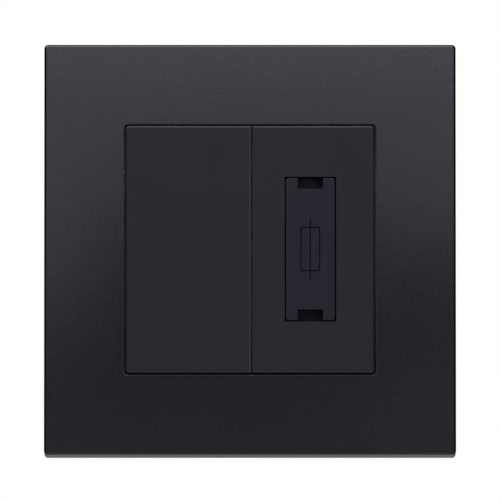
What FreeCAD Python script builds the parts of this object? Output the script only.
import FreeCAD, Part
import os
import re
import Sketcher
from FreeCAD import Placement, Rotation, Vector

# A square wall unit with a flush touch key on the left and a pull-out fuse carrier on the right.
# Z is up, X is to the right, and the front faces -Y. The wall's surface is the plane Y = 0, and the
# origin is the centre of the plate on it. Heights called back and front are measured forward from the
# wall, so they are -Y.
# All sizes are in millimetres.

SIZES = {
    # The cover frame, a pressed metal tray with a square aperture
    "plate_width": 86.0,
    "plate_height": 86.0,
    "plate_depth": 8.5,
    "frame_wall": 1.0,
    "plate_corner_radius": 0.8,
    "plate_edge_radius": 0.5,
    "aperture_width": 52.6,
    "aperture_height": 52.4,
    "aperture_corner_radius": 0.6,
    "aperture_edge_radius": 0.25,
    # The moulded backing inside the cover frame
    "cover_fit": 0.1,
    "backing_thickness": 1.6,
    "backing_wall": 1.2,
    "backing_foot": 0.6,
    "collar_foot": 4.4,
    "collar_gap": 0.6,
    "clip_rib_reach": 0.8,
    "clip_rib_back": 2.4,
    "clip_rib_front": 3.6,
    # The steel yoke on the wall
    "yoke_side_gap": 1.1,
    "yoke_end_gap": 3.7,
    "yoke_thickness": 1.2,
    "tab_length": 10.0,
    "tab_centres": 44.0,
    "tab_front": 4.6,
    "fixing_centres": 60.3,
    "fixing_hole_radius": 1.9,
    "fixing_slot_length": 7.0,
    "fixing_screw_radius": 1.75,
    "fixing_screw_length": 25.0,
    "fixing_neck_radius": 1.5,
    "fixing_head_radius": 3.3,
    "fixing_head_height": 2.2,
    "rivet_radius": 1.4,
    "rivet_head_radius": 2.2,
    "rivet_head_height": 0.7,
    "rivet_fit": 0.05,
    "rivet_x": 16.0,
    "rivet_z": 27.4,
    # The key and the fuse plate, which fill the aperture
    "insert_gap": 0.3,
    "insert_proud": 0.8,
    "insert_corner_radius": 0.8,
    "insert_edge_radius": 0.35,
    "split_x": 0.4,
    "split_gap": 0.3,
    "key_thickness": 1.8,
    "key_skirt": 1.2,
    "key_skirt_depth": 3.4,
    "face_thickness": 2.0,
    "face_skirt": 2.0,
    "face_split_skirt": 1.4,
    # The key's hinge, its foot and its catches
    "hinge_z": 22.4,
    "hinge_front": 5.4,
    "hinge_pin_radius": 1.0,
    "hinge_fit": 0.04,
    "hinge_lug_width": 3.0,
    "hinge_lug_radius": 1.7,
    "hinge_lug_left_x": -20.1,
    "hinge_lug_right_x": -6.1,
    "hinge_post_half": 2.0,
    "hinge_post_top": 1.8,
    "foot_x": -12.7,
    "foot_z": -14.0,
    "foot_half": 2.0,
    "foot_gap": 0.25,
    "catch_left_x": -20.0,
    "catch_right_x": -5.0,
    "catch_half": 2.0,
    "catch_leg_z": -22.4,
    "catch_leg_thickness": 1.2,
    "catch_toe": 0.9,
    "catch_toe_height": 1.2,
    "catch_back": 0.2,
    "catch_gap": 0.3,
    # The moulded housing behind the yoke
    "housing_width": 50.2,
    "housing_height": 50.2,
    "housing_wall": 1.5,
    "rim_front": 3.4,
    "joint_depth": 9.0,
    "window_fit": 0.2,
    "housing_corner_radius": 1.2,
    "wing_width": 40.0,
    "wing_reach": 29.5,
    "wing_thickness": 2.2,
    "partition_left": -1.0,
    "partition_right": 1.8,
    "screw_boss_radius": 2.4,
    "screw_boss_front": -3.0,
    "housing_screw_radius": 1.2,
    "housing_screw_head_radius": 2.1,
    "housing_screw_head_height": 1.4,
    "housing_screw_length": 18.0,
    "housing_screw_fit": 0.05,
    "left_screw_low_z": -1.0,
    "left_screw_high_z": 15.5,
    "right_screw_x": 21.6,
    "right_screw_z": 9.0,
    # The rear base with its terminals
    "base_depth": 24.0,
    "base_wall": 2.4,
    "base_edge_radius": 0.6,
    "floor_thickness": 2.0,
    "deck_depth": 12.5,
    "lower_deck_edge": -6.5,
    "upper_deck_edge": 12.5,
    "terminal_width": 7.6,
    "terminal_depth": 8.0,
    "terminal_inner_z": 13.0,
    "terminal_outer_z": 22.5,
    "terminal_fit": 0.15,
    "wire_radius": 2.0,
    "wire_entry_radius": 2.6,
    "wire_depth": 16.5,
    "terminal_screw_radius": 1.6,
    "terminal_screw_head_radius": 2.2,
    "terminal_screw_hole_radius": 2.4,
    "terminal_screw_head": 2.4,
    "terminal_screw_sunk": 0.5,
    "terminal_screw_back_off": 0.2,
    "thread_fit": 0.05,
    "neutral_x": -19.0,
    "live_x": -6.4,
    "earth_left_x": 6.0,
    "earth_right_x": 18.0,
    # The strips, links and contacts
    "strip_width": 4.0,
    "strip_thickness": 0.8,
    "contact_spacing": 10.0,
    "contact_radius": 1.4,
    "contact_height": 0.8,
    "contact_open_gap": 1.7,
    "bridge_width": 3.0,
    "bridge_overhang": 1.6,
    "strap_thickness": 0.8,
    "strap_x": 12.0,
    "strap_gap": 0.3,
    "strap_reach": 29.0,
    # The push-on push-off mechanism
    "carriage_half_width": 9.4,
    "carriage_half_height": 4.0,
    "carriage_back": -6.6,
    "carriage_front": -2.6,
    "tower_half": 3.0,
    "tower_front": 1.0,
    "cage_back": -9.0,
    "cage_half_width": 2.6,
    "cage_half_height": 2.0,
    "cage_slot_fit": 0.05,
    "cage_slot_front": -4.6,
    "guide_fit": 0.3,
    "guide_thickness": 1.5,
    "guide_front": 0.5,
    "guide_back": -6.2,
    "spring_wire_radius": 0.2,
    "return_spring_radius": 1.7,
    "return_spring_turns": 5.0,
    "contact_spring_radius": 1.0,
    "contact_spring_turns": 4.0,
    "follower_wire_radius": 0.4,
    "follower_pivot_front": 2.4,
    "follower_tip_front": -5.4,
    "follower_x": -2.1,
    "follower_fit": 0.05,
    "follower_socket_depth": 0.9,
    "heart_depth": 1.0,
    "heart_half": 2.0,
    "heart_back": -6.2,
    "heart_front": -3.0,
    "heart_island_z": -14.4,
    "heart_island_front": -3.9,
    "heart_island_radius": 0.55,
    "heart_tip_gap": 0.3,
    # The fuse carrier
    "carrier_x": 12.6,
    "carrier_width": 10.3,
    "carrier_height": 29.9,
    "carrier_thickness": 3.6,
    "carrier_gap": 0.24,
    "carrier_corner_radius": 0.55,
    "carrier_edge_radius": 0.25,
    "carrier_body_half": 5.0,
    "carrier_wall": 1.7,
    "carrier_back": -7.5,
    "carrier_end_gap": 0.3,
    "cheek_half_height": 5.5,
    "cheek_back": -3.6,
    "spine_half": 1.5,
    "notch_width": 5.3,
    "notch_height": 2.3,
    "notch_depth": 2.8,
    "mark_width": 4.15,
    "mark_height": 9.35,
    "mark_length": 13.0,
    "mark_line": 0.28,
    "mark_depth": 0.15,
    "sleeve_wall": 1.2,
    "sleeve_back": 1.0,
    # The fuse and its clips
    "fuse_length": 25.4,
    "fuse_radius": 3.175,
    "fuse_front": -1.0,
    "fuse_play": 0.2,
    "fuse_body_radius": 2.85,
    "fuse_cap_length": 6.0,
    "fuse_cap_end": 0.3,
    "fuse_cap_fit": 0.03,
    "clip_z": 9.5,
    "clip_half_height": 2.3,
    "clip_thickness": 0.7,
    "clip_fit": 0.1,
    "clip_seat_front": -6.2,
    "clip_front": 0.8,
    "clip_tail_half": 1.5,
    "clip_tail_thickness": 0.8,
    "fuse_base_thickness": 1.2,
    "fuse_base_left": 2.0,
    "fuse_base_right": 19.0,
    "fuse_base_half_height": 23.4,
    "fuse_pad_half_width": 4.2,
    "fuse_base_slot_fit": 0.2,
}

# Places worked out from the sizes, in the same words
PLACES = {
    "insert_front": "plate_depth + insert_proud",
    "insert_right": "aperture_width / 2 - insert_gap",
    "insert_top": "aperture_height / 2 - insert_gap",
    "key_right": "split_x - split_gap / 2",
    "face_left": "split_x + split_gap / 2",
    "sheet_back": "plate_depth - frame_wall",
    "backing_half_width": "plate_width / 2 - frame_wall - cover_fit",
    "backing_half_height": "plate_height / 2 - frame_wall - cover_fit",
    "yoke_half_width": "backing_half_width - backing_wall - yoke_side_gap",
    "yoke_half_height": "backing_half_height - backing_wall - yoke_end_gap",
    "collar_half_width": "aperture_width / 2 + collar_gap - insert_gap",
    "collar_half_height": "aperture_height / 2 + collar_gap - insert_gap",
    "housing_half_width": "housing_width / 2",
    "housing_half_height": "housing_height / 2",
    "chamber_half_width": "housing_half_width - housing_wall",
    "chamber_half_height": "housing_half_height - housing_wall",
    "window_half_width": "housing_half_width + window_fit",
    "window_half_height": "housing_half_height + window_fit",
    "key_back": "insert_front - key_thickness",
    "key_skirt_back": "insert_front - key_skirt_depth",
    "face_back": "insert_front - face_thickness",
    "foot_back": "tower_front + foot_gap",
    "tray_half_width": "housing_half_width - base_wall",
    "tray_half_height": "housing_half_height - base_wall",
    "strip_front": "strip_thickness - deck_depth",
    "contact_front": "strip_front + contact_height",
    "bridge_back": "contact_front + contact_open_gap + contact_height",
    "bridge_front": "bridge_back + strip_thickness",
    "upper_contact_z": "foot_z + contact_spacing / 2",
    "lower_contact_z": "foot_z - contact_spacing / 2",
    "carrier_half_width": "carrier_width / 2",
    "carrier_half_height": "carrier_height / 2",
    "carrier_back_of_front": "insert_front - carrier_thickness",
    "opening_half_width": "carrier_half_width + carrier_gap",
    "opening_half_height": "carrier_half_height + carrier_gap",
    "fuse_half": "fuse_length / 2",
    "fuse_base_front": "fuse_base_thickness - joint_depth",
    "clip_base_front": "clip_seat_front + clip_thickness",
}

doc = FreeCAD.newDocument("TouchSwitch")
sheet = doc.addObject("Spreadsheet::Sheet", "Dim")
for row, (alias, value) in enumerate(SIZES.items(), start=1):
    sheet.set("A%d" % row, alias.replace("_", " "))
    sheet.set("B%d" % row, str(value))
    sheet.setAlias("B%d" % row, alias)
doc.recompute()

WORD = re.compile(r"[a-z][a-z_]*")


def formula(text):
    """An expression on the sheet's cells, from one written in the words of SIZES and PLACES."""

    def spell(match):
        word = match.group(0)
        return "(" + formula(PLACES[word]) + ")" if word in PLACES else "Dim." + word

    return WORD.sub(spell, str(text))


def number(text):
    """What an expression comes to now, as a plain number."""
    return float(sheet.evalExpression(formula(text)))


def new(kind, name):
    return doc.addObject(kind, name)


# Primitives, placed and sized by expressions


def block(name, left, right, bottom, top, back, front):
    """A box between two places in X, two in Z and two heights forward of the wall."""
    made = new("Part::Box", name)
    spans = {
        ("x", "Length"): (left, right),
        ("y", "Width"): ("-(%s)" % front, "-(%s)" % back),
        ("z", "Height"): (bottom, top),
    }
    for (axis, side), (low, high) in spans.items():
        made.setExpression("Placement.Base." + axis, formula(low))
        made.setExpression(side, formula("(%s) - (%s)" % (high, low)))
    return made


def rod(name, direction, radius, length, x, z, height):
    """A cylinder that starts at X, Z and a height forward of the wall and runs forward, across or up."""
    turns = {
        "forward": Rotation(Vector(1, 0, 0), 90),
        "across": Rotation(Vector(0, 1, 0), 90),
        "up": Rotation(),
    }
    made = new("Part::Cylinder", name)
    made.Placement = Placement(Vector(), turns[direction])
    made.setExpression("Radius", formula(radius))
    made.setExpression("Height", formula(length))
    made.setExpression("Placement.Base.x", formula(x))
    made.setExpression("Placement.Base.y", formula("-(%s)" % height))
    made.setExpression("Placement.Base.z", formula(z))
    return made


def peg(name, radius, x, z, back, front):
    """A cylinder along Y between two heights."""
    return rod(name, "forward", radius, "(%s) - (%s)" % (front, back), x, z, back)


def union(name, shapes):
    made = new("Part::MultiFuse", name)
    made.Shapes = shapes
    made.Refine = True
    return made


def less(name, base, tools):
    """The base with every tool cut out of it."""
    made = new("Part::Cut", name)
    made.Base = base
    made.Tool = tools[0] if len(tools) == 1 else union(name + "_tools", tools)
    return made


def group(name, members):
    made = new("Part::Compound", name)
    made.Links = members
    return made


SUBPARTS = []


def keep(made, label):
    """Name a sub-part. Its label is its node's name."""
    made.Label = label
    SUBPARTS.append(made)
    return made


# Bodies made of sketches on the plate's own planes

PLANES = {"front": "XZ_Plane", "side": "YZ_Plane", "plan": "XY_Plane"}


def body(name):
    made = new("PartDesign::Body", name)
    doc.recompute()
    return made


def sketch(owner, name, plane, offset):
    """An empty sketch on one of the body's origin planes, moved along that plane's normal."""
    made = owner.newObject("Sketcher::SketchObject", name)
    base = next(f for f in owner.Origin.OriginFeatures if f.Role == PLANES[plane])
    made.AttachmentSupport = [(base, "")]
    made.MapMode = "FlatFace"
    made.setExpression("AttachmentOffset.Base.z", formula(offset))
    return made


def bind(target, kind, geometry, point, value, name):
    index = target.addConstraint(Sketcher.Constraint(kind, -1, 1, geometry, point, number(value)))
    target.renameConstraint(index, name)
    target.setExpression("Constraints." + name, formula(value))


def rectangle(target, left, right, bottom, top, name="edge"):
    """A closed rectangle whose four sides are bound to expressions."""
    x0, x1 = number(left), number(right)
    y0, y1 = number(bottom), number(top)
    corners = [Vector(x, y, 0) for x, y in ((x0, y0), (x1, y0), (x1, y1), (x0, y1))]
    first = target.GeometryCount
    for i in range(4):
        target.addGeometry(Part.LineSegment(corners[i], corners[(i + 1) % 4]), False)
    for i in range(4):
        target.addConstraint(Sketcher.Constraint("Coincident", first + i, 2, first + (i + 1) % 4, 1))
        target.addConstraint(Sketcher.Constraint("Vertical" if i % 2 else "Horizontal", first + i))
    bind(target, "DistanceX", first, 1, left, name + "_left")
    bind(target, "DistanceY", first, 1, bottom, name + "_bottom")
    bind(target, "DistanceX", first + 2, 1, right, name + "_right")
    bind(target, "DistanceY", first + 2, 1, top, name + "_top")


def circle(target, x, y, radius, name="ring"):
    centre = Vector(number(x), number(y), 0)
    geometry = target.addGeometry(Part.Circle(centre, Vector(0, 0, 1), number(radius)), False)
    bind(target, "DistanceX", geometry, 3, x, name + "_x")
    bind(target, "DistanceY", geometry, 3, y, name + "_y")
    index = target.addConstraint(Sketcher.Constraint("Radius", geometry, number(radius)))
    target.renameConstraint(index, name + "_radius")
    target.setExpression("Constraints." + name + "_radius", formula(radius))


def extrude(owner, kind, profile, name, length):
    made = owner.newObject("PartDesign::" + kind, name)
    made.Profile = profile
    made.Type = 0
    made.setExpression("Length", formula(length))
    doc.recompute([profile, made])
    return made


def pad(owner, name, left, right, bottom, top, back, front):
    """A rectangular pad between two heights forward of the wall."""
    profile = sketch(owner, name + "_sketch", "front", back)
    rectangle(profile, left, right, bottom, top)
    return extrude(owner, "Pad", profile, name, "(%s) - (%s)" % (front, back))


def pocket(owner, name, left, right, bottom, top, back, front):
    """A rectangular pocket between two heights forward of the wall."""
    profile = sketch(owner, name + "_sketch", "front", front)
    rectangle(profile, left, right, bottom, top)
    return cutting(owner, profile, name, "(%s) - (%s)" % (front, back))


def cutting(owner, profile, name, length):
    before = owner.Tip.Shape.Volume
    made = extrude(owner, "Pocket", profile, name, length)
    if made.Shape.Volume > before - 1e-6:
        raise RuntimeError(name + " cuts nothing")
    return made


def round_pad(owner, name, x, z, radius, back, front):
    profile = sketch(owner, name + "_sketch", "front", back)
    circle(profile, x, z, radius)
    return extrude(owner, "Pad", profile, name, "(%s) - (%s)" % (front, back))


def round_pocket(owner, name, x, z, radius, back, front):
    profile = sketch(owner, name + "_sketch", "front", front)
    circle(profile, x, z, radius)
    return cutting(owner, profile, name, "(%s) - (%s)" % (front, back))


def cross_hole(owner, name, height, z, radius, left, right):
    """A round hole along X."""
    profile = sketch(owner, name + "_sketch", "side", right)
    circle(profile, "-(%s)" % height, z, radius)
    return cutting(owner, profile, name, "(%s) - (%s)" % (right, left))


def rounding(owner, name, radius, wanted):
    """Fillet the edges of the body that a test on each edge picks."""
    before = owner.Tip
    picked = ["Edge%d" % (i + 1) for i, edge in enumerate(before.Shape.Edges) if wanted(edge)]
    made = owner.newObject("PartDesign::Fillet", name)
    made.Base = (before, picked)
    made.setExpression("Radius", formula(radius))
    doc.recompute([made])
    return made


def near(a, b):
    return abs(a - b) < 0.01


def box_of(edge):
    return edge.BoundBox


def depth_edge(x=None, z=None):
    """Picks straight edges along Y whose X and Z, without their signs, are near the given ones."""

    def wanted(edge):
        b = box_of(edge)
        straight = b.XLength < 0.01 and b.ZLength < 0.01
        middle = b.Center
        return straight and near(abs(middle.x), x) and near(abs(middle.z), z)

    return wanted


def rim_edge(front, left, right, bottom, top):
    """Picks the edges of an outline that lie in one plane parallel to the wall."""

    def wanted(edge):
        b = box_of(edge)
        flat = near(b.YMin, -front) and near(b.YMax, -front)
        wide = b.XMin > left - 0.01 and b.XMax < right + 0.01
        high = b.ZMin > bottom - 0.01 and b.ZMax < top + 0.01
        return flat and wide and high

    return wanted


def reach(sign, low, high):
    """The lower and upper place of a span that is measured from the middle, up or down."""
    spans = ("%d * (%s)" % (sign, low), "%d * (%s)" % (sign, high))
    return spans if sign > 0 else spans[::-1]


# The cover frame

frame = body("CoverFrame")
half_wide = number("plate_width / 2")
half_high = number("plate_height / 2")
plate_front = number("plate_depth")
plate_outline = rim_edge(plate_front, -half_wide, half_wide, -half_high, half_high)
pad(
    frame,
    "FrameBlock",
    "-plate_width / 2",
    "plate_width / 2",
    "-plate_height / 2",
    "plate_height / 2",
    0,
    "plate_depth",
)
rounding(frame, "FrameCorners", "plate_corner_radius", depth_edge(half_wide, half_high))
rounding(frame, "FrameEdges", "plate_edge_radius", plate_outline)
pocket(
    frame,
    "FrameHollow",
    "frame_wall - plate_width / 2",
    "plate_width / 2 - frame_wall",
    "frame_wall - plate_height / 2",
    "plate_height / 2 - frame_wall",
    0,
    "sheet_back",
)
pocket(
    frame,
    "FrameAperture",
    "-aperture_width / 2",
    "aperture_width / 2",
    "-aperture_height / 2",
    "aperture_height / 2",
    "sheet_back",
    "plate_depth",
)
aperture_corner = depth_edge(number("aperture_width / 2"), number("aperture_height / 2"))
rounding(frame, "ApertureCorners", "aperture_corner_radius", aperture_corner)
rounding(
    frame,
    "ApertureEdges",
    "aperture_edge_radius",
    rim_edge(
        plate_front,
        number("-aperture_width / 2"),
        number("aperture_width / 2"),
        number("-aperture_height / 2"),
        number("aperture_height / 2"),
    ),
)
keep(frame, "cover_frame")

# The backing ring: a plate behind the sheet, an outer wall, a collar round the aperture and clip ribs

backing = body("FrameBacking")
pad(
    backing,
    "BackingBlock",
    "-backing_half_width",
    "backing_half_width",
    "-backing_half_height",
    "backing_half_height",
    "backing_foot",
    "sheet_back",
)
pocket(
    backing,
    "BackingHollow",
    "backing_wall - backing_half_width",
    "backing_half_width - backing_wall",
    "backing_wall - backing_half_height",
    "backing_half_height - backing_wall",
    "backing_foot",
    "sheet_back - backing_thickness",
)
pad(
    backing,
    "BackingCollar",
    "-collar_half_width - backing_wall",
    "collar_half_width + backing_wall",
    "-collar_half_height - backing_wall",
    "collar_half_height + backing_wall",
    "collar_foot",
    "sheet_back - backing_thickness",
)
pocket(
    backing,
    "BackingAperture",
    "-collar_half_width",
    "collar_half_width",
    "-collar_half_height",
    "collar_half_height",
    "collar_foot",
    "sheet_back",
)
for side, outward in (("Left", -1), ("Right", 1)):
    for level, upward in (("Low", -1), ("High", 1)):
        wall = "%d * (backing_half_width - backing_wall)" % outward
        tip = "%d * (backing_half_width - backing_wall - clip_rib_reach)" % outward
        pad(
            backing,
            "ClipRib" + side + level,
            tip if outward > 0 else wall,
            wall if outward > 0 else tip,
            "%d * tab_centres / 2 - tab_length / 2" % upward,
            "%d * tab_centres / 2 + tab_length / 2" % upward,
            "clip_rib_back",
            "clip_rib_front",
        )
keep(backing, "frame_backing")

# The steel yoke

yoke = body("Yoke")
pad(
    yoke,
    "YokePlate",
    "-yoke_half_width",
    "yoke_half_width",
    "-yoke_half_height",
    "yoke_half_height",
    0,
    "yoke_thickness",
)
pocket(
    yoke,
    "YokeWindow",
    "-window_half_width",
    "window_half_width",
    "-window_half_height",
    "window_half_height",
    0,
    "yoke_thickness",
)
round_pocket(yoke, "FixingHole", "-fixing_centres / 2", 0, "fixing_hole_radius", 0, "yoke_thickness")
SLOT_END = "fixing_centres / 2 %s (fixing_slot_length / 2 - fixing_hole_radius)"
round_pocket(yoke, "SlotInnerEnd", SLOT_END % "-", 0, "fixing_hole_radius", 0, "yoke_thickness")
pocket(
    yoke,
    "SlotMiddle",
    SLOT_END % "-",
    SLOT_END % "+",
    "-fixing_hole_radius",
    "fixing_hole_radius",
    0,
    "yoke_thickness",
)
round_pocket(yoke, "SlotOuterEnd", SLOT_END % "+", 0, "fixing_hole_radius", 0, "yoke_thickness")
for side, outward in (("Left", -1), ("Right", 1)):
    for level, upward in (("Low", -1), ("High", 1)):
        outer = "%d * yoke_half_width" % outward
        inner = "%d * (yoke_half_width - yoke_thickness)" % outward
        pad(
            yoke,
            "Tab" + side + level,
            min(inner, outer, key=number),
            max(inner, outer, key=number),
            "%d * tab_centres / 2 - tab_length / 2" % upward,
            "%d * tab_centres / 2 + tab_length / 2" % upward,
            "yoke_thickness",
            "tab_front",
        )
        round_pocket(
            yoke,
            "RivetHole" + side + level,
            "%d * rivet_x" % outward,
            "%d * rivet_z" % upward,
            "rivet_radius + rivet_fit",
            0,
            "yoke_thickness",
        )
keep(yoke, "mounting_yoke")


def rivet(name, x, z):
    back = "-wing_thickness - rivet_head_height"
    front = "yoke_thickness + rivet_head_height"
    shank = peg(name + "_shank", "rivet_radius", x, z, back, "yoke_thickness")
    front_head = peg(name + "_front", "rivet_head_radius", x, z, "yoke_thickness", front)
    back_head = peg(name + "_back", "rivet_head_radius", x, z, back, "-wing_thickness")
    return union(name, [shank, front_head, back_head])


rivets = [
    rivet("Rivet%d%d" % (i, j), "%d * rivet_x" % (2 * i - 1), "%d * rivet_z" % (2 * j - 1))
    for i in range(2)
    for j in range(2)
]
keep(group("Rivets", rivets), "yoke_rivets")


def fixing_screw(name, x):
    """A screw seated on the yoke, with a driver slot and a plain neck inside the yoke's hole."""
    under_head = "yoke_thickness"
    tip = "yoke_thickness - fixing_screw_length"
    top = "yoke_thickness + fixing_head_height"
    neck = peg(name + "_neck", "fixing_neck_radius", x, 0, 0, under_head)
    thread = peg(name + "_thread", "fixing_screw_radius", x, 0, tip, 0)
    head = peg(name + "_head", "fixing_head_radius", x, 0, under_head, top)
    driver = block(
        name + "_slot",
        "%s - fixing_head_radius - 1" % x,
        "%s + fixing_head_radius + 1" % x,
        "-fixing_head_radius / 8",
        "fixing_head_radius / 8",
        "yoke_thickness + fixing_head_height / 2",
        "yoke_thickness + fixing_head_height + 1",
    )
    return less(name, union(name + "_blank", [neck, thread, head]), [driver])


fixings = [
    fixing_screw("FixingLeft", "-fixing_centres / 2"),
    fixing_screw("FixingRight", "fixing_centres / 2"),
]
keep(group("FixingScrews", fixings), "fixing_screws")

# The touch key: a hollow cap with hinge lugs at the top, a foot in the middle and catches at the bottom

key = body("TouchKey")
pad(
    key,
    "KeyBlock",
    "-insert_right",
    "key_right",
    "-insert_top",
    "insert_top",
    "key_skirt_back",
    "insert_front",
)
insert_corner = depth_edge(number("insert_right"), number("insert_top"))
rounding(
    key,
    "KeyCorners",
    "insert_corner_radius",
    lambda edge: insert_corner(edge) and box_of(edge).Center.x < 0,
)
rounding(
    key,
    "KeyEdges",
    "insert_edge_radius",
    rim_edge(
        number("insert_front"),
        number("-insert_right"),
        number("key_right"),
        number("-insert_top"),
        number("insert_top"),
    ),
)
pocket(
    key,
    "KeyHollow",
    "key_skirt - insert_right",
    "key_right - key_skirt",
    "key_skirt - insert_top",
    "insert_top - key_skirt",
    "key_skirt_back",
    "key_back",
)
for side in ("left", "right"):
    pad(
        key,
        "Lug" + side.title(),
        "hinge_lug_%s_x - hinge_lug_width / 2" % side,
        "hinge_lug_%s_x + hinge_lug_width / 2" % side,
        "hinge_z - hinge_lug_radius",
        "hinge_z + hinge_lug_radius",
        "hinge_front - hinge_lug_radius",
        "key_back",
    )
    pad(
        key,
        "CatchLeg" + side.title(),
        "catch_%s_x - catch_half" % side,
        "catch_%s_x + catch_half" % side,
        "catch_leg_z",
        "catch_leg_z + catch_leg_thickness",
        "catch_back",
        "key_back",
    )
    pad(
        key,
        "CatchToe" + side.title(),
        "catch_%s_x - catch_half" % side,
        "catch_%s_x + catch_half" % side,
        "catch_leg_z - catch_toe",
        "catch_leg_z",
        "catch_back",
        "catch_back + catch_toe_height",
    )
pad(
    key,
    "KeyFoot",
    "foot_x - foot_half",
    "foot_x + foot_half",
    "foot_z - foot_half",
    "foot_z + foot_half",
    "foot_back",
    "key_back",
)
cross_hole(
    key,
    "KeyHinge",
    "hinge_front",
    "hinge_z",
    "hinge_pin_radius + hinge_fit",
    "hinge_lug_left_x - hinge_lug_width",
    "hinge_lug_right_x + hinge_lug_width",
)
keep(key, "touch_key")

pin = rod(
    "HingePin",
    "across",
    "hinge_pin_radius",
    "chamber_half_width + housing_wall / 2 + partition_left - housing_wall / 2",
    "-chamber_half_width - housing_wall / 2",
    "hinge_z",
    "hinge_front",
)
keep(pin, "key_hinge_pin")

# The fuse plate: a hollow plate with the carrier's opening and a sleeve that guides it

face = body("FusePlate")
pad(
    face,
    "FaceBlock",
    "face_left",
    "insert_right",
    "-insert_top",
    "insert_top",
    "rim_front",
    "insert_front",
)
rounding(
    face,
    "FaceCorners",
    "insert_corner_radius",
    lambda edge: insert_corner(edge) and box_of(edge).Center.x > 0,
)
rounding(
    face,
    "FaceEdges",
    "insert_edge_radius",
    rim_edge(
        number("insert_front"),
        number("face_left"),
        number("insert_right"),
        number("-insert_top"),
        number("insert_top"),
    ),
)
pocket(
    face,
    "FaceHollow",
    "face_left + face_split_skirt",
    "insert_right - face_skirt",
    "face_skirt - insert_top",
    "insert_top - face_skirt",
    "rim_front",
    "face_back",
)
pad(
    face,
    "Sleeve",
    "carrier_x - opening_half_width - sleeve_wall",
    "carrier_x + opening_half_width + sleeve_wall",
    "-opening_half_height - sleeve_wall",
    "opening_half_height + sleeve_wall",
    "sleeve_back",
    "face_back",
)
pocket(
    face,
    "CarrierOpening",
    "carrier_x - opening_half_width",
    "carrier_x + opening_half_width",
    "-opening_half_height",
    "opening_half_height",
    "sleeve_back",
    "insert_front",
)
keep(face, "fuse_face_plate")

# The front housing: a tube through the yoke's window, parted into a key chamber and a fuse chamber

housing = body("FrontHousing")
pad(
    housing,
    "HousingBlock",
    "-housing_half_width",
    "housing_half_width",
    "-housing_half_height",
    "housing_half_height",
    "-joint_depth",
    "rim_front",
)
housing_corner = depth_edge(number("housing_half_width"), number("housing_half_height"))
rounding(housing, "HousingCorners", "housing_corner_radius", housing_corner)
pad(
    housing,
    "Wings",
    "-wing_width / 2",
    "wing_width / 2",
    "-wing_reach",
    "wing_reach",
    "-wing_thickness",
    0,
)
for name, left, right in (
    ("KeyChamber", "-chamber_half_width", "partition_left"),
    ("FuseChamber", "partition_right", "chamber_half_width"),
):
    pocket(
        housing,
        name,
        left,
        right,
        "-chamber_half_height",
        "chamber_half_height",
        "-joint_depth",
        "rim_front",
    )
pocket(
    housing,
    "StrapNotch",
    "strap_x - strip_width / 2 - strap_gap",
    "strap_x + strip_width / 2 + strap_gap",
    "-wing_reach",
    "-housing_half_height",
    "-wing_thickness",
    0,
)
for i in (-1, 1):
    for j in (-1, 1):
        round_pocket(
            housing,
            "WingHole%d%d" % (i + 1, j + 1),
            "%d * rivet_x" % i,
            "%d * rivet_z" % j,
            "rivet_radius + rivet_fit",
            "-wing_thickness",
            0,
        )
POSTS = {
    "Left": (
        "-chamber_half_width - housing_wall / 2",
        "hinge_lug_left_x - hinge_lug_width / 2 - guide_fit",
    ),
    "Middle": ("foot_x - hinge_post_half", "foot_x + hinge_post_half"),
    "Right": (
        "hinge_lug_right_x + hinge_lug_width / 2 + guide_fit + 1",
        "key_right - key_skirt - guide_fit",
    ),
}
for name, (left, right) in POSTS.items():
    pad(
        housing,
        "HingePost" + name,
        left,
        right,
        "hinge_z - hinge_post_half",
        "chamber_half_height + housing_wall / 2",
        "hinge_front - hinge_post_half - hinge_pin_radius - 1",
        "hinge_front + hinge_post_top",
    )
cross_hole(
    housing,
    "PinHoles",
    "hinge_front",
    "hinge_z",
    "hinge_pin_radius + hinge_fit",
    "-chamber_half_width - housing_wall / 2",
    "partition_left",
)
for side in ("left", "right"):
    pad(
        housing,
        "CatchLedge" + side.title(),
        "catch_%s_x - catch_half" % side,
        "catch_%s_x + catch_half" % side,
        "-chamber_half_height",
        "catch_leg_z - catch_gap",
        "catch_back + catch_toe_height + catch_gap",
        "rim_front",
    )
for level, sign in (("Low", -1), ("High", 1)):
    near_side = "foot_z + %d * (carriage_half_height + guide_fit)" % sign
    far_side = "foot_z + %d * (carriage_half_height + guide_fit + guide_thickness)" % sign
    pad(
        housing,
        "Guide" + level,
        "-chamber_half_width",
        "partition_left",
        min(near_side, far_side, key=number),
        max(near_side, far_side, key=number),
        "guide_back",
        "guide_front",
    )
cross_hole(
    housing,
    "FollowerSocket",
    "follower_pivot_front",
    "foot_z",
    "follower_wire_radius + follower_fit",
    "partition_left",
    "partition_left + follower_socket_depth",
)
SCREWS = {
    "LeftLow": ("foot_x", "left_screw_low_z"),
    "LeftHigh": ("foot_x", "left_screw_high_z"),
    "RightLow": ("right_screw_x", "-right_screw_z"),
    "RightHigh": ("right_screw_x", "right_screw_z"),
}
for name, (x, z) in SCREWS.items():
    round_pad(housing, "Boss" + name, x, z, "screw_boss_radius", "-joint_depth", "screw_boss_front")
    if name.startswith("Left"):
        pad(
            housing,
            "BossWeb" + name,
            "-chamber_half_width",
            "partition_left",
            "%s - guide_thickness / 2" % z,
            "%s + guide_thickness / 2" % z,
            "-joint_depth",
            "screw_boss_front",
        )
    round_pocket(
        housing,
        "Pilot" + name,
        x,
        z,
        "housing_screw_radius + housing_screw_fit",
        "-joint_depth",
        "housing_screw_length - base_depth + housing_screw_head_height + 0.5",
    )
keep(housing, "front_housing")

# The rear base: a tray with a deck at top and bottom that holds the terminals

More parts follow.
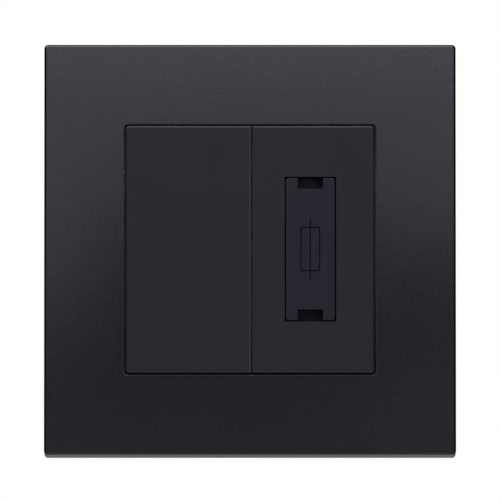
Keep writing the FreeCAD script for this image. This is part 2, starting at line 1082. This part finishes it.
TERMINALS = {
    "supply_neutral_terminal": ("neutral_x", -1),
    "supply_live_terminal": ("live_x", -1),
    "earth_terminal_supply": ("earth_left_x", -1),
    "earth_terminal_load": ("earth_right_x", -1),
    "load_neutral_terminal": ("neutral_x", 1),
    "load_live_terminal": ("carrier_x", 1),
}

base = body("RearBase")
pad(
    base,
    "BaseBlock",
    "-housing_half_width",
    "housing_half_width",
    "-housing_half_height",
    "housing_half_height",
    "-base_depth",
    "-joint_depth",
)
rounding(base, "BaseCorners", "housing_corner_radius", housing_corner)
rounding(
    base,
    "BaseEdges",
    "base_edge_radius",
    rim_edge(
        number("-base_depth"),
        number("-housing_half_width"),
        number("housing_half_width"),
        number("-housing_half_height"),
        number("housing_half_height"),
    ),
)
pocket(
    base,
    "DeckHollow",
    "-tray_half_width",
    "tray_half_width",
    "-tray_half_height",
    "tray_half_height",
    "-deck_depth",
    "-joint_depth",
)
pocket(
    base,
    "MiddleHollow",
    "-tray_half_width",
    "tray_half_width",
    "lower_deck_edge",
    "upper_deck_edge",
    "floor_thickness - base_depth",
    "-deck_depth",
)
for name, (x, z) in SCREWS.items():
    round_pad(base, "Pillar" + name, x, z, "screw_boss_radius", "-base_depth", "-joint_depth")
    clear_radius = "housing_screw_radius + housing_screw_fit"
    round_pocket(base, "Through" + name, x, z, clear_radius, "-base_depth", "-joint_depth")
    round_pocket(
        base,
        "HeadSink" + name,
        x,
        z,
        "housing_screw_head_radius + housing_screw_fit",
        "-base_depth",
        "housing_screw_head_height - base_depth",
    )


for name, (x, sign) in TERMINALS.items():
    word = name.title().replace("_", "")
    low, high = reach(sign, "terminal_inner_z - terminal_fit", "terminal_outer_z + terminal_fit")
    pocket(
        base,
        "Well" + word,
        "%s - terminal_width / 2 - terminal_fit" % x,
        "%s + terminal_width / 2 + terminal_fit" % x,
        low,
        high,
        "-deck_depth - terminal_depth",
        "-deck_depth",
    )
    round_pocket(
        base,
        "Driver" + word,
        x,
        "%d * (terminal_inner_z + terminal_outer_z) / 2" % sign,
        "terminal_screw_hole_radius",
        "-base_depth",
        "-deck_depth - terminal_depth",
    )
    mouth = "housing_half_height" if sign > 0 else "-terminal_outer_z"
    entry = sketch(base, "Entry" + word + "_sketch", "plan", mouth)
    circle(entry, x, "wire_depth", "wire_entry_radius")
    cutting(base, entry, "Entry" + word, "housing_half_height - terminal_outer_z")
pocket(
    base,
    "StrapWay",
    "strap_x - strip_width / 2 - strap_gap",
    "strap_x + strip_width / 2 + strap_gap",
    "-housing_half_height",
    "-tray_half_height",
    "-deck_depth",
    "-joint_depth",
)
keep(base, "rear_base")


def housing_screw(name, x, z):
    seat = "housing_screw_head_height - base_depth"
    shank = peg(name + "_shank", "housing_screw_radius", x, z, seat, "housing_screw_length + " + seat)
    head = peg(name + "_head", "housing_screw_head_radius", x, z, "-base_depth", seat)
    slot_half = "housing_screw_head_radius / 6"
    driver = block(
        name + "_slot",
        "%s - housing_screw_head_radius - 1" % x,
        "%s + housing_screw_head_radius + 1" % x,
        "%s - %s" % (z, slot_half),
        "%s + %s" % (z, slot_half),
        "-base_depth - 1",
        "housing_screw_head_height / 2 - base_depth",
    )
    return less(name, union(name + "_blank", [shank, head]), [driver])


screws = [housing_screw("Screw" + name, x, z) for name, (x, z) in SCREWS.items()]
keep(group("HousingScrews", screws), "housing_screws")

# Pillar terminals: a brass block with a wire bore up or down and a screw from behind

terminal_screws = []
for name, (x, sign) in TERMINALS.items():
    word = name.title().replace("_", "")
    low, high = reach(sign, "terminal_inner_z", "terminal_outer_z")
    back = "-deck_depth - terminal_depth"
    middle = "%d * (terminal_inner_z + terminal_outer_z) / 2" % sign
    left, right = "%s - terminal_width / 2" % x, "%s + terminal_width / 2" % x
    blank = block(word + "_block", left, right, low, high, back, "-deck_depth")
    bore = rod(word + "_bore", "up", "wire_radius", "(%s) - (%s)" % (high, low), x, low, "-wire_depth")
    thread = peg(word + "_thread", "terminal_screw_radius + thread_fit", x, middle, back, "-wire_depth")
    keep(less(word, blank, [bore, thread]), name)
    head_back = "terminal_screw_sunk - base_depth"
    head_front = head_back + " + terminal_screw_head"
    tip = "-wire_depth - wire_radius - terminal_screw_back_off"
    shank = peg(word + "_shank", "terminal_screw_radius", x, middle, head_back, tip)
    head = peg(word + "_head", "terminal_screw_head_radius", x, middle, head_back, head_front)
    driver = block(
        word + "_slot",
        "%s - terminal_screw_head_radius - 1" % x,
        "%s + terminal_screw_head_radius + 1" % x,
        "%s - terminal_screw_head_radius / 6" % middle,
        "%s + terminal_screw_head_radius / 6" % middle,
        head_back + " - 1",
        head_back + " + terminal_screw_head / 2",
    )
    terminal_screws.append(less(word + "_screw", union(word + "_screw_blank", [shank, head]), [driver]))
keep(group("TerminalScrews", terminal_screws), "terminal_screws")

# Strips and links on the deck

STRIP = ("-deck_depth", "strip_front")


def strip(name, left, right, bottom, top):
    return block(name, left, right, bottom, top, *STRIP)


def across(x):
    return "%s - strip_width / 2" % x, "%s + strip_width / 2" % x


TERMINAL_MIDDLE = "(terminal_inner_z + terminal_outer_z) / 2"
CONTACT_END = "contact_radius + 0.6"
LOWER_END = ("lower_contact_z - " + CONTACT_END, "lower_contact_z + " + CONTACT_END)
UPPER_END = ("upper_contact_z - " + CONTACT_END, "upper_contact_z + " + CONTACT_END)
LINK_TOP = TERMINAL_MIDDLE + " + strip_width / 2"
keep(strip("SupplyNeutralStrip", *across("neutral_x"), *LOWER_END), "supply_neutral_strip")
keep(strip("SupplyLiveStrip", *across("live_x"), *LOWER_END), "supply_live_strip")
keep(strip("NeutralLink", *across("neutral_x"), UPPER_END[0], LINK_TOP), "neutral_link")
keep(strip("FuseLink", across("live_x")[0], across("carrier_x")[1], *UPPER_END), "fuse_link")
load_live = strip("LoadLiveStrip", *across("carrier_x"), "clip_z - clip_half_height", LINK_TOP)
keep(load_live, "load_live_strip")

earth_z = "-" + TERMINAL_MIDDLE
riser_top = "-housing_half_height - strap_gap"
riser_bottom = riser_top + " - strap_thickness"
strap_pieces = [
    strip(
        "StrapBar",
        across("earth_left_x")[0],
        across("earth_right_x")[1],
        earth_z + " - strip_width / 2",
        earth_z + " + strip_width / 2",
    ),
    strip("StrapTongue", *across("strap_x"), riser_bottom, earth_z),
    block("StrapRiser", *across("strap_x"), riser_bottom, riser_top, "-deck_depth", 0),
    block("StrapFoot", *across("strap_x"), "-strap_reach", riser_top, "-strap_thickness", 0),
]
keep(union("EarthStrap", strap_pieces), "earth_strap")

POLES = {"neutral": "neutral_x", "live": "live_x"}
LEVELS = {"upper": "upper_contact_z", "lower": "lower_contact_z"}
fixed = [
    peg("Fixed" + pole + level, "contact_radius", x, z, "strip_front", "contact_front")
    for pole, x in POLES.items()
    for level, z in LEVELS.items()
]
keep(group("FixedContacts", fixed), "fixed_contacts")
moving = [
    peg("Moving" + pole + level, "contact_radius", x, z, "bridge_back - contact_height", "bridge_back")
    for pole, x in POLES.items()
    for level, z in LEVELS.items()
]
keep(group("MovingContacts", moving), "moving_contacts")
for pole, x in POLES.items():
    bar = block(
        "Bridge" + pole,
        "%s - bridge_width / 2" % x,
        "%s + bridge_width / 2" % x,
        "lower_contact_z - bridge_overhang",
        "upper_contact_z + bridge_overhang",
        "bridge_back",
        "bridge_front",
    )
    keep(bar, "contact_bridge_" + pole)

# The carriage: a sliding block with a tower for the key's foot, a cage for each bridge and a heart track

carriage = body("Carriage")
pad(
    carriage,
    "CarriageBlock",
    "foot_x - carriage_half_width",
    "foot_x + carriage_half_width",
    "foot_z - carriage_half_height",
    "foot_z + carriage_half_height",
    "carriage_back",
    "carriage_front",
)
pad(
    carriage,
    "Tower",
    "foot_x - tower_half",
    "foot_x + tower_half",
    "foot_z - tower_half",
    "foot_z + tower_half",
    "carriage_front",
    "tower_front",
)
for pole, x in POLES.items():
    pad(
        carriage,
        "Cage" + pole.title(),
        "%s - cage_half_width" % x,
        "%s + cage_half_width" % x,
        "foot_z - cage_half_height",
        "foot_z + cage_half_height",
        "cage_back",
        "carriage_back",
    )
    pocket(
        carriage,
        "CageSlot" + pole.title(),
        "%s - bridge_width / 2 - cage_slot_fit" % x,
        "%s + bridge_width / 2 + cage_slot_fit" % x,
        "foot_z - carriage_half_height",
        "foot_z + carriage_half_height",
        "bridge_back - cage_slot_fit",
        "cage_slot_front",
    )
heart_face = "foot_x + carriage_half_width"
track = sketch(carriage, "HeartTrack_sketch", "side", heart_face)
rectangle(track, "-heart_front", "-heart_back", "foot_z - heart_half", "foot_z + heart_half")
circle(track, "-heart_island_front", "heart_island_z", "heart_island_radius")
cutting(carriage, track, "HeartTrack", "heart_depth")
keep(carriage, "contact_carriage")


def coil(label, x, z, back, front, radius, turns):
    """A coil spring along Y between two heights, its wire's ends inside them."""
    wire = number("spring_wire_radius")
    room = number(front) - number(back) - 2 * wire
    helix = Part.makeHelix(room / number(turns), room, number(radius))
    start = Vector(number(radius), 0, 0)
    section = Part.Wire(Part.makeCircle(wire, start, Vector(0, 1, 0)))
    made = new("Part::Feature", label.title().replace("_", ""))
    made.Shape = Part.Wire(helix.Edges).makePipeShell([section], True, True)
    foot = Vector(number(x), -number(back) - wire, number(z))
    made.Placement = Placement(foot, Rotation(Vector(1, 0, 0), 90))
    return made


return_spring = coil(
    "return_spring",
    "foot_x",
    "foot_z",
    "-deck_depth",
    "carriage_back",
    "return_spring_radius",
    "return_spring_turns",
)
keep(return_spring, "return_spring")
contact_springs = [
    coil(
        "contact_spring_" + pole,
        x,
        "foot_z",
        "bridge_front",
        "cage_slot_front",
        "contact_spring_radius",
        "contact_spring_turns",
    )
    for pole, x in POLES.items()
]
keep(group("ContactSprings", contact_springs), "contact_springs")

# The latch follower: a bent wire from its socket in the partition to the heart track

socket_end = "partition_left + follower_socket_depth - follower_fit"
tip_end = heart_face + " - heart_depth + heart_tip_gap"
follower_pieces = [
    rod(
        "FollowerPivot",
        "across",
        "follower_wire_radius",
        "(%s) - follower_x" % socket_end,
        "follower_x",
        "foot_z",
        "follower_pivot_front",
    ),
    peg(
        "FollowerArm",
        "follower_wire_radius",
        "follower_x",
        "foot_z",
        "follower_tip_front",
        "follower_pivot_front",
    ),
    rod(
        "FollowerTip",
        "across",
        "follower_wire_radius",
        "follower_x - (%s)" % tip_end,
        tip_end,
        "foot_z",
        "follower_tip_front",
    ),
]
ELBOWS = {"FollowerElbowFront": "follower_pivot_front", "FollowerElbowBack": "follower_tip_front"}
for name, height in ELBOWS.items():
    elbow = new("Part::Sphere", name)
    elbow.setExpression("Radius", formula("follower_wire_radius"))
    elbow.setExpression("Placement.Base.x", formula("follower_x"))
    elbow.setExpression("Placement.Base.y", formula("-(%s)" % height))
    elbow.setExpression("Placement.Base.z", formula("foot_z"))
    follower_pieces.append(elbow)
keep(union("LatchFollower", follower_pieces), "latch_follower")

# The fuse carrier: a face with two pry notches and the fuse symbol, end walls, cheeks and a spine

carrier = body("FuseCarrier")
pad(
    carrier,
    "CarrierFace",
    "carrier_x - carrier_half_width",
    "carrier_x + carrier_half_width",
    "-carrier_half_height",
    "carrier_half_height",
    "carrier_back_of_front",
    "insert_front",
)
carrier_sides = (number("carrier_x - carrier_half_width"), number("carrier_x + carrier_half_width"))
rounding(
    carrier,
    "CarrierCorners",
    "carrier_corner_radius",
    lambda edge: box_of(edge).XLength < 0.01 and box_of(edge).ZLength < 0.01,
)
rounding(
    carrier,
    "CarrierEdges",
    "carrier_edge_radius",
    rim_edge(
        number("insert_front"),
        *carrier_sides,
        number("-carrier_half_height"),
        number("carrier_half_height"),
    ),
)
for level, sign in (("Low", -1), ("High", 1)):
    low, high = reach(sign, "fuse_half + fuse_play", "carrier_half_height - carrier_end_gap")
    pad(
        carrier,
        "EndWall" + level,
        "carrier_x - carrier_body_half",
        "carrier_x + carrier_body_half",
        low,
        high,
        "carrier_back",
        "carrier_back_of_front",
    )
    low, high = reach(sign, "carrier_half_height - notch_height", "carrier_half_height")
    pocket(
        carrier,
        "Notch" + level,
        "carrier_x - notch_width / 2",
        "carrier_x + notch_width / 2",
        low,
        high,
        "insert_front - notch_depth",
        "insert_front",
    )
for side, left, right in (
    ("Left", "-carrier_body_half", "carrier_wall - carrier_body_half"),
    ("Right", "carrier_body_half - carrier_wall", "carrier_body_half"),
    ("Middle", "-spine_half", "spine_half"),
):
    pad(
        carrier,
        "Cheek" + side if side != "Middle" else "Spine",
        "carrier_x + (%s)" % left,
        "carrier_x + (%s)" % right,
        "-cheek_half_height" if side != "Middle" else "-fuse_half - fuse_play",
        "cheek_half_height" if side != "Middle" else "fuse_half + fuse_play",
        "cheek_back" if side != "Middle" else "fuse_front + fuse_radius + fuse_play",
        "carrier_back_of_front",
    )
ring = sketch(carrier, "MarkRing_sketch", "front", "insert_front")
rectangle(
    ring,
    "carrier_x - mark_width / 2",
    "carrier_x + mark_width / 2",
    "-mark_height / 2",
    "mark_height / 2",
    "outer",
)
rectangle(
    ring,
    "carrier_x - mark_width / 2 + mark_line",
    "carrier_x + mark_width / 2 - mark_line",
    "mark_line - mark_height / 2",
    "mark_height / 2 - mark_line",
    "inner",
)
cutting(carrier, ring, "MarkRing", "mark_depth")
pocket(
    carrier,
    "MarkLine",
    "carrier_x - mark_line / 2",
    "carrier_x + mark_line / 2",
    "-mark_length / 2",
    "mark_length / 2",
    "insert_front - mark_depth",
    "insert_front",
)
keep(carrier, "fuse_carrier")

# The cartridge fuse and its clips

fuse_body = rod(
    "FuseBody",
    "up",
    "fuse_body_radius",
    "fuse_length - 2 * fuse_cap_end",
    "carrier_x",
    "fuse_cap_end - fuse_half",
    "fuse_front",
)
keep(fuse_body, "fuse_body")
for level, sign in (("lower", -1), ("upper", 1)):
    low, high = reach(sign, "fuse_half - fuse_cap_length", "fuse_half")
    inner_low, inner_high = reach(sign, "fuse_half - fuse_cap_length - 1", "fuse_half - fuse_cap_end")
    shell = rod("Cap" + level, "up", "fuse_radius", "fuse_cap_length", "carrier_x", low, "fuse_front")
    inside = rod(
        "CapHollow" + level,
        "up",
        "fuse_body_radius + fuse_cap_fit",
        "fuse_cap_length - fuse_cap_end + 1",
        "carrier_x",
        inner_low,
        "fuse_front",
    )
    keep(less("FuseCap" + level.title(), shell, [inside]), "fuse_cap_" + level)

    clip_low = "%d * clip_z - clip_half_height" % sign
    clip_high = "%d * clip_z + clip_half_height" % sign
    inner = "fuse_radius + clip_fit"
    outer = "fuse_radius + clip_fit + clip_thickness"
    word = "Clip" + level.title()
    pieces = [
        block(
            word + "_seat",
            "carrier_x - %s" % outer.replace("+", "-"),
            "carrier_x + %s" % outer,
            clip_low,
            clip_high,
            "clip_seat_front",
            "clip_base_front",
        ),
        block(
            word + "_left",
            "carrier_x - (%s)" % outer,
            "carrier_x - (%s)" % inner,
            clip_low,
            clip_high,
            "clip_seat_front",
            "clip_front",
        ),
        block(
            word + "_right",
            "carrier_x + %s" % inner,
            "carrier_x + %s" % outer,
            clip_low,
            clip_high,
            "clip_seat_front",
            "clip_front",
        ),
        block(
            word + "_tail",
            "carrier_x - clip_tail_half",
            "carrier_x + clip_tail_half",
            "%d * clip_z - clip_tail_thickness / 2" % sign,
            "%d * clip_z + clip_tail_thickness / 2" % sign,
            "strip_front",
            "clip_base_front",
        ),
    ]
    keep(union("Fuse" + word, pieces), "fuse_clip_" + level)

floor_plate = block(
    "FuseFloor",
    "fuse_base_left",
    "fuse_base_right",
    "-fuse_base_half_height",
    "fuse_base_half_height",
    "-joint_depth",
    "fuse_base_front",
)
pads = []
tail_ways = []
for level, sign in (("Lower", -1), ("Upper", 1)):
    pads.append(
        block(
            "FusePad" + level,
            "carrier_x - fuse_pad_half_width",
            "carrier_x + fuse_pad_half_width",
            "%d * clip_z - clip_half_height" % sign,
            "%d * clip_z + clip_half_height" % sign,
            "fuse_base_front",
            "clip_seat_front",
        )
    )
    tail_ways.append(
        block(
            "TailWay" + level,
            "carrier_x - clip_tail_half - fuse_base_slot_fit",
            "carrier_x + clip_tail_half + fuse_base_slot_fit",
            "%d * clip_z - clip_tail_thickness / 2 - fuse_base_slot_fit" % sign,
            "%d * clip_z + clip_tail_thickness / 2 + fuse_base_slot_fit" % sign,
            "-joint_depth - 1",
            "clip_seat_front + 1",
        )
    )
keep(less("FuseBase", union("FuseBaseBlank", [floor_plate] + pads), tail_ways), "fuse_base")

doc.recompute()

faults = [o.Label for o in doc.Objects if "Invalid" in o.State or "Error" in o.State]
faults += [o.Label for o in SUBPARTS if o.Shape.isNull() or not o.Shape.isValid() or not o.Shape.Solids]
if faults:
    raise RuntimeError("these objects failed: " + ", ".join(faults))

os.makedirs("parts", exist_ok=True)
for sub_part in SUBPARTS:
    sub_part.Shape.exportStep("parts/" + sub_part.Label + ".step")
    print(sub_part.Label, len(sub_part.Shape.Solids), "solid(s), volume", round(sub_part.Shape.Volume, 1))
